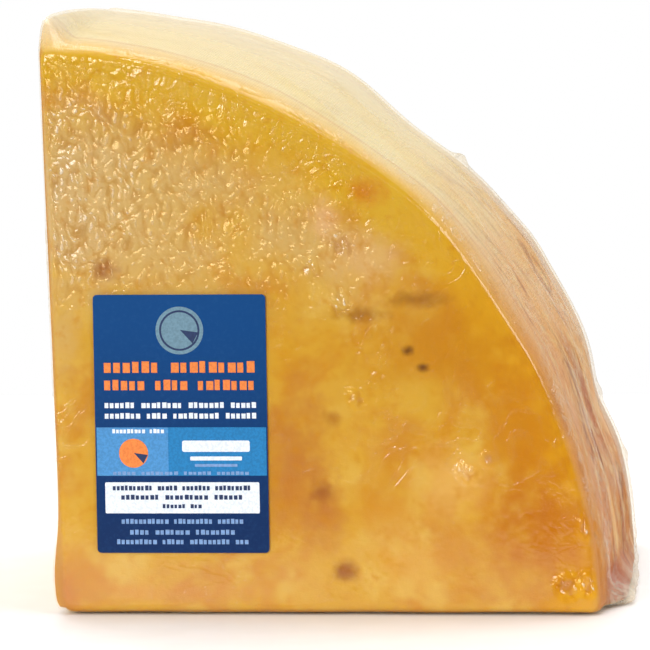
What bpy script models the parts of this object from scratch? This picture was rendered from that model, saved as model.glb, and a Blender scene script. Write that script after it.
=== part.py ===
"""Quarter of a clothbound cheddar truckle, drawn tight into a clear vacuum bag, with a paper label.

Metres, +Z up. The quarter stands on one of its two cut faces. The wheel's axis lies along Y at the lower left
corner, one end face of the wheel looks along -Y and carries the label, and the rind curves over the top and
down the +X side. The bag is modelled by its outer surface, since the film is under 0.1 mm thick.
"""

import math

import bmesh
import bpy
import numpy as np
from mathutils import Matrix, Vector, noise

# The quarter of cheese. The wheel is a little out of round, and its upright cut misses the axis
RADIUS_ACROSS = 0.1674
RADIUS_UP = 0.1724
ROUNDNESS = 1.94
WHEEL_HEIGHT = 0.150
CUT_LEAN = math.radians(1.27)
CUT_OFFSET = 0.0033
CORNER_ROUNDING = 0.0045
RIM_ROUNDING = 0.0060
CUT_EDGE_ROUNDING = 0.0035
SIDE_BULGE = 0.0018

# Slow swellings of the two rims: angle round the axis, half width in degrees, and height
FRONT_SWELLS = ((26.0, 4.0, 0.0007), (46.0, 8.0, 0.0017))
BACK_SWELLS = (
    (17.5, 4.5, -0.0032),
    (36.0, 3.0, 0.0008),
    (53.5, 6.0, -0.0029),
    (63.5, 4.5, 0.0021),
    (82.0, 4.0, -0.0008),
)

# Folds of slack film that run along the curved side: depth behind the front face, half width and height
FOLDS = ((0.034, 0.0045, 0.0011), (0.066, 0.0060, 0.0014), (0.098, 0.0060, 0.0012))
FOLD_DRIFT = 0.010
FOLDS_FADE = (math.radians(35), math.radians(70))

# Slack film stands out as an ear along the top and the foot of the curved side: widest near the front end
EAR_WIDTH = 0.0075
EAR_ROOT = 0.0060
EAR_RISES_TOP = (0.0010, 0.0090)
EAR_RISES_FOOT = (0.0080, 0.0260)
EAR_FALLS = (0.0200, 0.1480)

# The bag's side seam stands proud of the curved side, just in front of the back rim
SEAM_DEPTH = 0.140
SEAM_HALF_WIDTH = 0.0028
SEAM_HEIGHT = 0.0006

# Low relief of the two end faces and of the upright cut face
END_RELIEF = 0.0008
CUT_RELIEF = 0.0006
RELIEF_SCALE = 0.045
RELIEF_MARGIN = 0.030
FOOT_SPREAD = 0.0022
FOOT_LEVEL = 0.010
FOOT_HEIGHT = 0.014

# The label, its place from the wheel's axis, and the clear gap behind it
LABEL_WIDTH = 0.052
LABEL_HEIGHT = 0.078
LABEL_THICKNESS = 0.00035
LABEL_CORNER = 0.0012
LABEL_CORNER_STEPS = 3
LABEL_CENTRE = (0.0411, 0.0579)
LABEL_GAP = 0.0003
LABEL_MARGIN = 0.012

# Fineness of the mesh and of the outline that it follows
STATIONS_PER_SIDE = 22
ROWS_IN_DEPTH = 30
OUTLINE_STEP = 0.0005
CROWDING = 0.6
RING_CROWDING = 0.65
MIDDLE_SHARE = 0.42
FLAT_ANGLE = 1e-4
TINY = 1e-6


def clear_scene():
    """Removes whatever the open file holds."""
    for obj in list(bpy.data.objects):
        bpy.data.objects.remove(obj)


def smooth_step(low, high, value):
    """0 below low, 1 above high, and a smooth rise between them."""
    share = min(max((value - low) / (high - low), 0.0), 1.0)
    return share * share * (3.0 - 2.0 * share)


def hump(value, centre, half_width):
    """A bell that is 1 at centre and nearly 0 at two half widths."""
    return math.exp(-(((value - centre) / half_width) ** 2))


def rim_radius(angle):
    """Radius of the wheel at an angle round its axis."""
    across = (abs(math.cos(angle)) / RADIUS_ACROSS) ** ROUNDNESS
    up = (abs(math.sin(angle)) / RADIUS_UP) ** ROUNDNESS
    return (across + up) ** (-1.0 / ROUNDNESS)


def sector_outline():
    """The end face's outline, anticlockwise from its lower left corner. A moving average rounds its corners.

    Returns the points, one about every OUTLINE_STEP, and the indices where the square's four sides start.
    """
    lean = math.tan(CUT_LEAN)
    last_angle = math.pi / 2.0
    for _ in range(4):
        radius = rim_radius(last_angle)
        last_angle = math.pi / 2.0 + math.asin((lean * radius - CUT_OFFSET) / radius)
    top = rim_radius(last_angle)
    top_corner = top * np.array([math.cos(last_angle), math.sin(last_angle)])
    straight = int(RADIUS_ACROSS / OUTLINE_STEP)
    curved = int(RADIUS_UP * last_angle / OUTLINE_STEP)
    along = np.arange(straight)[:, None] / straight
    corner = np.array([CUT_OFFSET, 0.0])
    foot = np.array([RADIUS_ACROSS, 0.0])
    floor_side = corner + (foot - corner) * along
    angles = [last_angle * step / curved for step in range(curved)]
    arc = np.array([(rim_radius(a) * math.cos(a), rim_radius(a) * math.sin(a)) for a in angles])
    upright_side = top_corner + (corner - top_corner) * along
    sharp = np.concatenate([floor_side, arc, upright_side])
    half = int(CORNER_ROUNDING / OUTLINE_STEP)
    shifts = range(-half, half + 1)
    rounded = sum(np.roll(sharp, shift, axis=0) for shift in shifts) / len(shifts)
    rounded[:, 1] = np.maximum(rounded[:, 1], 0.0)
    starts = [0, straight, straight + curved // 2, straight + curved, len(sharp)]
    return np.vstack([rounded, rounded[:1]]), starts


def outline_point(outline, starts, station):
    """The outline's point at a station from 0 to 4, where each whole number is a corner of the square."""
    side = min(int(station), 3)
    share = station - side
    if side in (0, 3):
        share -= CROWDING * math.sin(2.0 * math.pi * share) / (2.0 * math.pi)
    else:
        turn = 1.0 if side == 2 else -1.0
        share += turn * CROWDING * math.sin(math.pi * share) / math.pi
    index = starts[side] + share * (starts[side + 1] - starts[side])
    low = min(int(index), len(outline) - 2)
    return outline[low] + (outline[low + 1] - outline[low]) * (index - low)


def square_station(a, b):
    """The station, from 0 to 4, of a point on the rim of the unit square."""
    if abs(b) >= abs(a):
        return (a + 1.0) / 2.0 if b < 0 else 2.0 + (1.0 - a) / 2.0
    return 1.0 + (b + 1.0) / 2.0 if a > 0 else 3.0 + (1.0 - b) / 2.0


def crowded(value):
    """Moves evenly spaced values from -1 to 1 closer together towards both ends."""
    return (1.0 - RING_CROWDING) * value + RING_CROWDING * math.sin(value * math.pi / 2.0)


def edge_rounding(station):
    """Radius of the edge between the side and an end face: wide on the rind's rim, tight along the cuts."""
    on_rim = smooth_step(0.95, 1.15, station) - smooth_step(2.85, 3.05, station)
    return CUT_EDGE_ROUNDING + (RIM_ROUNDING - CUT_EDGE_ROUNDING) * on_rim


def swelling(swells, degrees):
    """Sum of a rim's swellings at an angle round the axis."""
    return sum(height * hump(degrees, place, width) for place, width, height in swells)


def side_growth(angle, depth):
    """How far the curved side stands outside the rim's radius, at an angle and at a depth from the front."""
    share = depth / WHEEL_HEIGHT
    degrees = math.degrees(angle)
    growth = swelling(FRONT_SWELLS, degrees) * (1.0 - share) + swelling(BACK_SWELLS, degrees) * share
    growth += SIDE_BULGE * 4.0 * share * (1.0 - share)
    fade = 1.0 - smooth_step(*FOLDS_FADE, angle)
    for place, half_width, height in FOLDS:
        growth += height * fade * hump(depth, place + FOLD_DRIFT * math.sin(2.0 * angle), half_width)
    return growth + SEAM_HEIGHT * hump(depth, SEAM_DEPTH, SEAM_HALF_WIDTH)


def ear_width(point, corner, depth, rise):
    """How far the slack film stands out at a point of the outline near a corner of it, at a depth."""
    near = max(1.0 - float(np.linalg.norm(point - corner)) / EAR_ROOT, 0.0)
    low, high = EAR_FALLS
    fall = min(max((high - depth) / (high - low), 0.0), 1.0)
    return EAR_WIDTH * near * near * (3.0 - 2.0 * near) * fall * smooth_step(*rise, depth)


def relief(first, second, height):
    """Slow unevenness of a face, from its two coordinates along the face."""
    place = Vector((first / RELIEF_SCALE, second / RELIEF_SCALE, height / END_RELIEF))
    return height * noise.noise(place)


def clear_of_label(x, z):
    """0 behind the label, where the face is pressed flat, and 1 away from it."""
    across = abs(x - LABEL_CENTRE[0]) - LABEL_WIDTH / 2.0
    up = abs(z - LABEL_CENTRE[1]) - LABEL_HEIGHT / 2.0
    return smooth_step(LABEL_MARGIN / 4.0, LABEL_MARGIN, max(across, up))


def rounded_edge(distance, radius):
    """Bends a point that lies at a distance from an edge onto the edge's rounding.

    Returns how far it then lies inside the edge along its own face, and how far below that face.
    """
    turn = math.pi / 4.0 * (1.0 + min(distance / radius, 1.0))
    return max(distance, radius * (1.0 - math.cos(turn))), radius * (1.0 - math.sin(turn))


def pack_point(outline, starts, a, b, w):
    """Moves a point of the unit cube onto the pack's surface. w is -1 on the front end face, 1 on the back."""
    ring = max(abs(a), abs(b))
    middle = MIDDLE_SHARE * np.array([RADIUS_ACROSS, RADIUS_UP])
    station = square_station(a / ring, b / ring) if ring > TINY else 0.0
    edge = outline_point(outline, starts, station)
    reach = float(np.linalg.norm(edge - middle))
    on_end = abs(w) > 1.0 - TINY
    if on_end:
        from_edge = (1.0 - crowded(ring)) * reach
        inset, from_end = rounded_edge(from_edge, edge_rounding(station))
    else:
        along = (1.0 - abs(crowded(w))) * WHEEL_HEIGHT / 2.0
        from_end, inset = rounded_edge(along, edge_rounding(station))
    flat = middle + (edge - middle) * max(1.0 - inset / reach, 0.0)
    depth = WHEEL_HEIGHT - from_end if w > 0.0 else from_end

    angle = max(math.atan2(flat[1], flat[0]), 0.0)
    share = min(float(np.linalg.norm(flat)) / rim_radius(angle), 1.0)
    x, z = flat * (1.0 + share**3 * side_growth(angle, depth) / rim_radius(angle))
    x += ear_width(flat, outline[starts[1]], depth, EAR_RISES_FOOT)
    z += ear_width(flat, outline[starts[3]], depth, EAR_RISES_TOP)
    if on_end:
        lift = relief(x, z, END_RELIEF) * smooth_step(0.0, RELIEF_MARGIN, from_edge)
        depth += lift if w > 0.0 else -lift * clear_of_label(x, z)
    elif station > 3.0:
        x -= relief(depth, z, CUT_RELIEF) * math.sin(math.pi * (station - 3.0))
        x -= FOOT_SPREAD * hump(z, FOOT_LEVEL, FOOT_HEIGHT)
    return Vector((x, depth - WHEEL_HEIGHT / 2.0, max(z, 0.0)))


def make_object(name, mesh, material):
    """Links a finished mesh to the scene as an object of one material."""
    mesh.materials.append(material)
    obj = bpy.data.objects.new(name, mesh)
    bpy.context.scene.collection.objects.link(obj)
    return obj


def plain_material(name, colour, roughness, alpha=1.0):
    """A Principled finish of one colour."""
    material = bpy.data.materials.new(name)
    material.use_nodes = True
    shader = material.node_tree.nodes["Principled BSDF"]
    shader.inputs["Base Color"].default_value = (*colour, 1.0)
    shader.inputs["Roughness"].default_value = roughness
    shader.inputs["Metallic"].default_value = 0.0
    shader.inputs["Alpha"].default_value = alpha
    return material


def add_sealed_pack():
    """The cheese in its film: a cube's grid wrapped onto the quarter's form, with its flat faces merged."""
    outline, starts = sector_outline()
    bm = bmesh.new()
    bmesh.ops.create_cube(bm, size=2.0)
    across = [e for e in bm.edges if abs(e.verts[0].co.y - e.verts[1].co.y) < TINY]
    bmesh.ops.subdivide_edges(bm, edges=across, cuts=STATIONS_PER_SIDE - 1, use_grid_fill=True)
    in_depth = [e for e in bm.edges if abs(e.verts[0].co.y - e.verts[1].co.y) > TINY]
    bmesh.ops.subdivide_edges(bm, edges=in_depth, cuts=ROWS_IN_DEPTH - 1, use_grid_fill=True)
    for vert in bm.verts:
        vert.co = pack_point(outline, starts, vert.co.x, vert.co.z, vert.co.y)
    bmesh.ops.dissolve_limit(bm, angle_limit=FLAT_ANGLE, verts=bm.verts, edges=bm.edges)
    bmesh.ops.triangulate(bm, faces=bm.faces)
    bmesh.ops.recalc_face_normals(bm, faces=bm.faces)
    mesh = bpy.data.meshes.new("sealed_pack")
    bm.to_mesh(mesh)
    bm.free()
    mesh.shade_smooth()
    mesh.set_sharp_from_angle(angle=math.radians(40))
    return make_object("sealed_pack", mesh, plain_material("cheese_in_film", (0.70, 0.38, 0.06), 0.25))


def add_label():
    """The paper label: a thin plate with rounded corners, just in front of the front end face."""
    bm = bmesh.new()
    bmesh.ops.create_cube(bm, size=1.0)
    bmesh.ops.scale(bm, vec=(LABEL_WIDTH, LABEL_THICKNESS, LABEL_HEIGHT), verts=bm.verts)
    corners = [e for e in bm.edges if abs(e.verts[0].co.y - e.verts[1].co.y) > LABEL_THICKNESS / 2.0]
    bmesh.ops.bevel(bm, geom=corners, offset=LABEL_CORNER, offset_type="OFFSET", affect="EDGES",
                    segments=LABEL_CORNER_STEPS, profile=0.5, material=-1)
    front = -WHEEL_HEIGHT / 2.0 - LABEL_GAP - LABEL_THICKNESS / 2.0
    bmesh.ops.translate(bm, vec=(LABEL_CENTRE[0], front, LABEL_CENTRE[1]), verts=bm.verts)
    mesh = bpy.data.meshes.new("label")
    bm.to_mesh(mesh)
    bm.free()
    return make_object("label", mesh, plain_material("label_print", (0.01, 0.09, 0.27), 0.4))


def centre_over_origin(objects):
    """Shifts the meshes so that the middle of the whole part's base is at the origin."""
    corners = np.array([vert.co for obj in objects for vert in obj.data.vertices])
    low, high = corners.min(axis=0), corners.max(axis=0)
    shift = Matrix.Translation((-(low[0] + high[0]) / 2.0, -(low[1] + high[1]) / 2.0, -low[2]))
    for obj in objects:
        obj.data.transform(shift)


def main():
    clear_scene()
    centre_over_origin([add_sealed_pack(), add_label()])


main()
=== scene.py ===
"""Looks of a quarter of clothbound cheddar in a clear vacuum bag: cheese, film, seal flap, label and studio.

Everything is in metres, +Z up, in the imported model's own frame. The wheel's axis runs along Y at the lower
left corner of the quarter. "Across" is the distance from that axis to the right, "up" is the height above it,
and "depth" is the distance behind the front end face.
"""

import logging
import math
from dataclasses import dataclass
from enum import Enum
from typing import Callable, Sequence

import bmesh
import bpy
import numpy as np
from mathutils import Matrix, Vector, noise


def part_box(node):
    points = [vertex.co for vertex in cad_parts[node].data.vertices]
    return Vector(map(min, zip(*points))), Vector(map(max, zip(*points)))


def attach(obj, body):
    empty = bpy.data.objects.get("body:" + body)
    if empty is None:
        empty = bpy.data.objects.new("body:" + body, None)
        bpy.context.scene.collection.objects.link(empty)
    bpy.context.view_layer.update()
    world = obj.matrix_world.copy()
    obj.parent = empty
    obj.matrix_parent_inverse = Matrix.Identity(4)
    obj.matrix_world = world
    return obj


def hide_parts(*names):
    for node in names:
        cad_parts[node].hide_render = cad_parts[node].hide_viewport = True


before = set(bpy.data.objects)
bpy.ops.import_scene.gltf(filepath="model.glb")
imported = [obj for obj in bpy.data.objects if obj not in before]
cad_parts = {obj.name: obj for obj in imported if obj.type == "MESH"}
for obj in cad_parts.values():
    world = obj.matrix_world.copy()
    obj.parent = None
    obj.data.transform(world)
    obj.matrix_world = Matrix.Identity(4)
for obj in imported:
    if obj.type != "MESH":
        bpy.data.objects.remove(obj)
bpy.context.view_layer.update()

Array = np.ndarray
Socket = bpy.types.NodeSocket
Colour = tuple[float, float, float]
Bell = tuple[float, float, float]
Span = tuple[float, float]

LOG = logging.getLogger("cheddar_quarter")
BODY = "root"
TINY = 1e-6
WHITE: Colour = (1.0, 1.0, 1.0)
STANDING = Matrix.Rotation(math.radians(90), 4, "X")


def srgb(red: int, green: int, blue: int) -> Colour:
    """Turns a colour as a screen shows it, 0 to 255, into Blender's linear values.

    Args:
        red: The red part.
        green: The green part.
        blue: The blue part.

    Returns:
        The three linear parts, 0 to 1.
    """
    parts = (value / 255.0 for value in (red, green, blue))
    return tuple(p / 12.92 if p <= 0.04045 else ((p + 0.055) / 1.055) ** 2.4 for p in parts)


def ease(low: float, high: float, value: Array) -> Array:
    """0 below low, 1 above high and a smooth rise between them, for a whole array."""
    share = np.clip((value - low) / (high - low), 0.0, 1.0)
    return share * share * (3.0 - 2.0 * share)


def bell(value: Array, centre: float | Array, half_width: float) -> Array:
    """A bell that is 1 at centre and nearly 0 at two half widths from it."""
    return np.exp(-(((value - centre) / half_width) ** 2))


def ridges(value: Array, steepness: float) -> Array:
    """1 where an uneven value passes 0, and 0 where it is far from it."""
    return (1.0 - np.minimum(steepness * np.abs(value), 1.0)) ** 2


def unevenness(first: Array, second: Array, sizes: Span, seed: float) -> Array:
    """Smooth unevenness from -1 to 1 over two coordinates.

    Args:
        first: The first coordinate of each point.
        second: The second coordinate of each point.
        sizes: How far apart the swellings are along each coordinate.
        seed: Any number; another one gives another pattern.

    Returns:
        One value for each point.
    """
    places = zip((first / sizes[0]).tolist(), (second / sizes[1]).tolist())
    return np.array([noise.noise(Vector((a, b, seed))) for a, b in places])


@dataclass
class Points:
    """The points of a wrapped cube: where each lies, and what part of the quarter it lies on."""

    across: Array
    up: Array
    depth: Array
    station: Array
    from_edge: Array
    on_end: Array
    at_back: Array
    sideways: Array
    from_rim: Array
    eared: Array
    footed: Array

    @property
    def angle(self) -> Array:
        """Angle of each point round the wheel's axis, in degrees above the floor."""
        return np.degrees(np.arctan2(self.up, self.across))

    @property
    def on_front(self) -> Array:
        """Whether each point lies on the front end face."""
        return self.on_end & ~self.at_back

    @property
    def on_rind(self) -> Array:
        """1 on the curved side, 0 on the two cut faces, with a short blend between them."""
        return ease(0.985, 1.015, self.station) - ease(2.985, 3.015, self.station)


@dataclass(frozen=True)
class Ears:
    """How far the pack stands out at its two free corners: at the top of the upright cut and at the foot."""

    top: float
    foot: float
    root: float


@dataclass(frozen=True)
class PackForm:
    """Form of the quarter as it was built, in metres from the wheel's axis and its front end face."""

    radius_across: float = 0.1674
    radius_up: float = 0.1724
    roundness: float = 1.94
    height: float = 0.150
    cut_lean: float = math.radians(1.27)
    cut_offset: float = 0.0033
    corner_rounding: float = 0.0045
    rim_rounding: float = 0.0060
    cut_edge_rounding: float = 0.0035
    rim_blend: Span = (0.95, 1.15)
    side_bulge: float = 0.0018
    front_swells: tuple[Bell, ...] = ((26.0, 4.0, 0.0007), (46.0, 8.0, 0.0017))
    back_swells: tuple[Bell, ...] = (
        (17.5, 4.5, -0.0032),
        (36.0, 3.0, 0.0008),
        (53.5, 6.0, -0.0024),
        (63.5, 5.0, 0.0012),
        (82.0, 4.0, -0.0008),
    )
    folds: tuple[Bell, ...] = ((0.034, 0.0045, 0.0011), (0.066, 0.0060, 0.0014), (0.098, 0.0060, 0.0012))
    fold_drift: float = 0.010
    folds_fade: Span = (35.0, 70.0)
    folds_rise: Span = (1.0, 8.0)
    folds_at_floor: float = 0.30
    ear_rises_top: Span = (0.0010, 0.0090)
    ear_rises_foot: Span = (0.0080, 0.0260)
    ear_falls: Span = (0.0200, 0.1480)
    foot_spread: float = 0.0022
    foot_level: float = 0.010
    foot_height: float = 0.014
    outline_step: float = 0.0005
    crowding: float = 0.6
    ring_crowding: float = 0.55

    def rim_radius(self, angle: Array) -> Array:
        """Radius of the wheel at angles round its axis, in radians."""
        across = (np.abs(np.cos(angle)) / self.radius_across) ** self.roundness
        up = (np.abs(np.sin(angle)) / self.radius_up) ** self.roundness
        return (across + up) ** (-1.0 / self.roundness)

    def outline(self) -> tuple[Array, list[int]]:
        """The end face's outline, anticlockwise from its lower left corner, with rounded corners.

        Returns:
            The points, and the indices where the four sides of the square start.
        """
        last = math.pi / 2.0
        for _ in range(4):
            radius = float(self.rim_radius(last))
            last = math.pi / 2.0 + math.asin(math.tan(self.cut_lean) - self.cut_offset / radius)
        top = float(self.rim_radius(last)) * np.array([math.cos(last), math.sin(last)])
        straight = int(self.radius_across / self.outline_step)
        curved = int(self.radius_up * last / self.outline_step)
        along = np.arange(straight)[:, None] / straight
        corner = np.array([self.cut_offset, 0.0])
        foot = np.array([self.radius_across, 0.0])
        angles = np.arange(curved) / curved * last
        arc = self.rim_radius(angles)[:, None] * np.column_stack([np.cos(angles), np.sin(angles)])
        sharp = np.concatenate([corner + (foot - corner) * along, arc, top + (corner - top) * along])
        half = int(self.corner_rounding / self.outline_step)
        shifts = range(-half, half + 1)
        rounded = sum(np.roll(sharp, shift, axis=0) for shift in shifts) / len(shifts)
        rounded[:, 1] = np.maximum(rounded[:, 1], 0.0)
        starts = [0, straight, straight + curved // 2, straight + curved, len(sharp)]
        return np.vstack([rounded, rounded[:1]]), starts

    def stations(self, a: Array, b: Array) -> Array:
        """The station, 0 to 4, of points on the rim of the unit square."""
        flat = np.abs(b) >= np.abs(a)
        level = np.where(b < 0.0, (a + 1.0) / 2.0, 2.0 + (1.0 - a) / 2.0)
        upright = np.where(a > 0.0, 1.0 + (b + 1.0) / 2.0, 3.0 + (1.0 - b) / 2.0)
        return np.where(flat, level, upright)

    def edge_points(self, outline: Array, starts: list[int], station: Array) -> Array:
        """The outline's points at the stations, closer together near the quarter's corners.

        Args:
            outline: The outline's points.
            starts: Where its four sides start.
            station: The stations, 0 to 4.

        Returns:
            One point for each station.
        """
        side = np.minimum(station.astype(int), 3)
        share = station - side
        straight = (side == 0) | (side == 3)
        turn = np.where(side == 2, 1.0, -1.0)
        on_cut = share - self.crowding * np.sin(2.0 * np.pi * share) / (2.0 * np.pi)
        on_arc = share + turn * self.crowding * np.sin(np.pi * share) / np.pi
        share = np.where(straight, on_cut, on_arc)
        bounds = np.array(starts)
        index = bounds[side] + share * (bounds[side + 1] - bounds[side])
        low = np.minimum(index.astype(int), len(outline) - 2)
        return outline[low] + (outline[low + 1] - outline[low]) * (index - low)[:, None]

    def crowded(self, value: Array) -> Array:
        """Moves evenly spaced values from -1 to 1 closer together towards both ends."""
        return (1.0 - self.ring_crowding) * value + self.ring_crowding * np.sin(value * np.pi / 2.0)

    def side_growth(self, degrees: Array, depth: Array, folded: float) -> Array:
        """How far the curved side stands outside the rim's radius.

        Args:
            degrees: Angles round the axis.
            depth: Depths behind the front end face.
            folded: 1 for the film with its folds, 0 for the smooth cheese under it.

        Returns:
            The growth at each point.
        """
        share = depth / self.height
        front = sum(height * bell(degrees, place, width) for place, width, height in self.front_swells)
        back = sum(height * bell(degrees, place, width) for place, width, height in self.back_swells)
        growth = front * (1.0 - share) + back * share + self.side_bulge * 4.0 * share * (1.0 - share)
        rising = self.folds_at_floor + (1.0 - self.folds_at_floor) * ease(*self.folds_rise, degrees)
        fade = folded * (1.0 - ease(*self.folds_fade, degrees)) * rising
        drift = self.fold_drift * np.sin(np.radians(2.0 * degrees))
        for place, half_width, height in self.folds:
            growth = growth + height * fade * bell(depth, place + drift, half_width)
        return growth

    def wrap(self, cube: Array, middle: Span, ears: Ears, folded: float) -> Points:
        """Moves the points of a cube from -1 to 1 onto the quarter's surface.

        Args:
            cube: The cube's points, with -Y as the front end face.
            middle: The point of the end faces, across and up, round which the mesh's rings lie.
            ears: How far the two free corners stand out.
            folded: How much of the folds' height the surface has.

        Returns:
            The points on the quarter.
        """
        outline, starts = self.outline()
        a, w, b = cube[:, 0], cube[:, 1], cube[:, 2]
        ring = np.maximum(np.abs(a), np.abs(b))
        safe = np.where(ring > TINY, ring, 1.0)
        station = np.where(ring > TINY, self.stations(a / safe, b / safe), 0.0)
        edge = self.edge_points(outline, starts, station)
        centre = np.array(middle)
        reach = np.linalg.norm(edge - centre, axis=1)
        on_end = np.abs(w) > 1.0 - TINY
        at_back = w > 0.0
        low, high = self.rim_blend
        on_rim = ease(low, high, station) - ease(4.0 - high, 4.0 - low, station)
        radius = self.cut_edge_rounding + (self.rim_rounding - self.cut_edge_rounding) * on_rim
        from_edge = np.where(on_end, (1.0 - self.crowded(ring)) * reach, 0.0)
        from_end = np.where(on_end, 0.0, (1.0 - np.abs(self.crowded(w))) * self.height / 2.0)
        distance = np.where(on_end, from_edge, from_end)
        turn = math.pi / 4.0 * (1.0 + np.minimum(distance / radius, 1.0))
        into = np.maximum(distance, radius * (1.0 - np.cos(turn)))
        below = radius * (1.0 - np.sin(turn))
        inset = np.where(on_end, into, below)
        behind = np.where(on_end, below, into)
        flat = centre + (edge - centre) * np.maximum(1.0 - inset / reach, 0.0)[:, None]
        depth = np.where(at_back, self.height - behind, behind)
        angle = np.maximum(np.arctan2(flat[:, 1], flat[:, 0]), 0.0)
        rim = self.rim_radius(angle)
        from_axis = np.linalg.norm(flat, axis=1)
        growth = self.side_growth(np.degrees(angle), depth, folded)
        grown = flat * (1.0 + np.minimum(from_axis / rim, 1.0) ** 3 * growth / rim)[:, None]
        at_foot = self.ear(flat, outline[starts[1]], depth, self.ear_rises_foot, ears.root)
        at_top = self.ear(flat, outline[starts[3]], depth, self.ear_rises_top, ears.root)
        across, up = grown[:, 0] + ears.foot * at_foot, grown[:, 1] + ears.top * at_top
        spread = self.foot_spread * bell(up, self.foot_level, self.foot_height)
        across = across - np.where(~on_end & (station > 3.0), spread, 0.0)
        facing = turn / (math.pi / 2.0)
        sideways = np.where(on_end, 1.0 - facing, facing)
        up = np.maximum(up, 0.0)
        return Points(across, up, depth, station, from_edge, on_end, at_back, sideways, rim - from_axis,
                      at_top, at_foot)

    def ear(self, flat: Array, corner: Array, depth: Array, rise: Span, root: float) -> Array:
        """The share by which an ear stands out near a corner of the outline, most near the front end.

        Args:
            flat: The points, across and up.
            corner: The corner, across and up.
            depth: The points' depths.
            rise: The depths between which the ear rises.
            root: How far the ear reaches from the corner.

        Returns:
            The share at each point, 0 to 1.
        """
        near = np.maximum(1.0 - np.linalg.norm(flat - corner, axis=1) / root, 0.0)
        low, high = self.ear_falls
        fall = np.clip((high - depth) / (high - low), 0.0, 1.0)
        return near * near * (3.0 - 2.0 * near) * fall * ease(*rise, depth)


@dataclass(frozen=True)
class Placing:
    """Where the wheel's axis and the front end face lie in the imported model's frame."""

    axis: float
    front: float

    @classmethod
    def from_label(cls, label_across: float = 0.0411, label_gap: float = 0.0003) -> "Placing":
        """Works the place out from the label's box.

        Args:
            label_across: The label's middle, across from the wheel's axis.
            label_gap: The clear gap between the label's back and the front end face.

        Returns:
            The placing.
        """
        low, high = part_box("label")
        return cls((low[0] + high[0]) / 2.0 - label_across, high[1] + label_gap)

    def place(self, points: Points) -> Array:
        """The points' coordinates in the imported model's frame."""
        return np.column_stack([points.across + self.axis, points.depth + self.front, points.up])


def finished_mesh(bm: bmesh.types.BMesh, name: str) -> bpy.types.Mesh:
    """Turns a bmesh into a mesh of that name and frees it."""
    mesh = bpy.data.meshes.new(name)
    bm.to_mesh(mesh)
    bm.free()
    return mesh


def vectors(mesh: bpy.types.Mesh, kind: str) -> Array:
    """The places ("co") or the normals ("normal") of a mesh's points, one row for each."""
    values = np.empty(len(mesh.vertices) * 3)
    mesh.vertices.foreach_get(kind, values)
    return values.reshape(-1, 3)


def wrapped_quarter(name: str, form: PackForm, placing: Placing, grid: tuple[int, int], middle: Span,
                    ears: Ears, folded: float = 1.0) -> tuple[bpy.types.Mesh, Points]:
    """Cuts a cube into a grid and wraps it onto the quarter.

    Args:
        name: The mesh's name.
        form: The quarter's form.
        placing: The quarter's place.
        grid: Faces along each side of the end faces, and from the front end to the back end.
        middle: The point of the end faces round which the mesh's rings lie.
        ears: How far the two free corners stand out.
        folded: How much of the folds' height the surface has.

    Returns:
        The closed mesh, shaded smooth, and its points.
    """
    bm = bmesh.new()
    bmesh.ops.create_cube(bm, size=2.0)
    for runs_deep, faces in zip((False, True), grid):
        edges = [e for e in bm.edges if (abs(e.verts[0].co.y - e.verts[1].co.y) > TINY) == runs_deep]
        bmesh.ops.subdivide_edges(bm, edges=edges, cuts=faces - 1, use_grid_fill=True)
    bmesh.ops.recalc_face_normals(bm, faces=bm.faces)
    mesh = finished_mesh(bm, name)
    points = form.wrap(vectors(mesh, "co"), middle, ears, folded)
    mesh.vertices.foreach_set("co", placing.place(points).ravel())
    mesh.shade_smooth()
    mesh.update()
    return mesh, points


def push_out(mesh: bpy.types.Mesh, height: Array) -> None:
    """Moves each point of a mesh along its normal, and no lower than the floor.

    Args:
        mesh: The mesh to change.
        height: How far each point moves.
    """
    moved = vectors(mesh, "co") + vectors(mesh, "normal") * height[:, None]
    moved[:, 2] = np.maximum(moved[:, 2], 0.0)
    mesh.vertices.foreach_set("co", moved.ravel())
    mesh.update()


def add_values(mesh: bpy.types.Mesh, **values: Array) -> None:
    """Stores named numbers for each point of a mesh, for its material to read."""
    for name, numbers in values.items():
        mesh.attributes.new(name, "FLOAT", "POINT").data.foreach_set("value", numbers.astype(np.float32))


def add_piece(name: str, mesh: bpy.types.Mesh, materials: Sequence[bpy.types.Material],
              replaces: str | None = None) -> bpy.types.Object:
    """Links a finished mesh as a piece that rides on the pack.

    Args:
        name: The piece's name.
        mesh: Its mesh, in place.
        materials: Its materials, in the order of the mesh's material indices.
        replaces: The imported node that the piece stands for.

    Returns:
        The piece.
    """
    for material in materials:
        mesh.materials.append(material)
    piece = bpy.data.objects.new(name, mesh)
    bpy.context.scene.collection.objects.link(piece)
    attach(piece, BODY)
    if replaces:
        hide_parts(replaces)
    LOG.info("%s: %d faces", name, len(mesh.polygons))
    return piece


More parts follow.
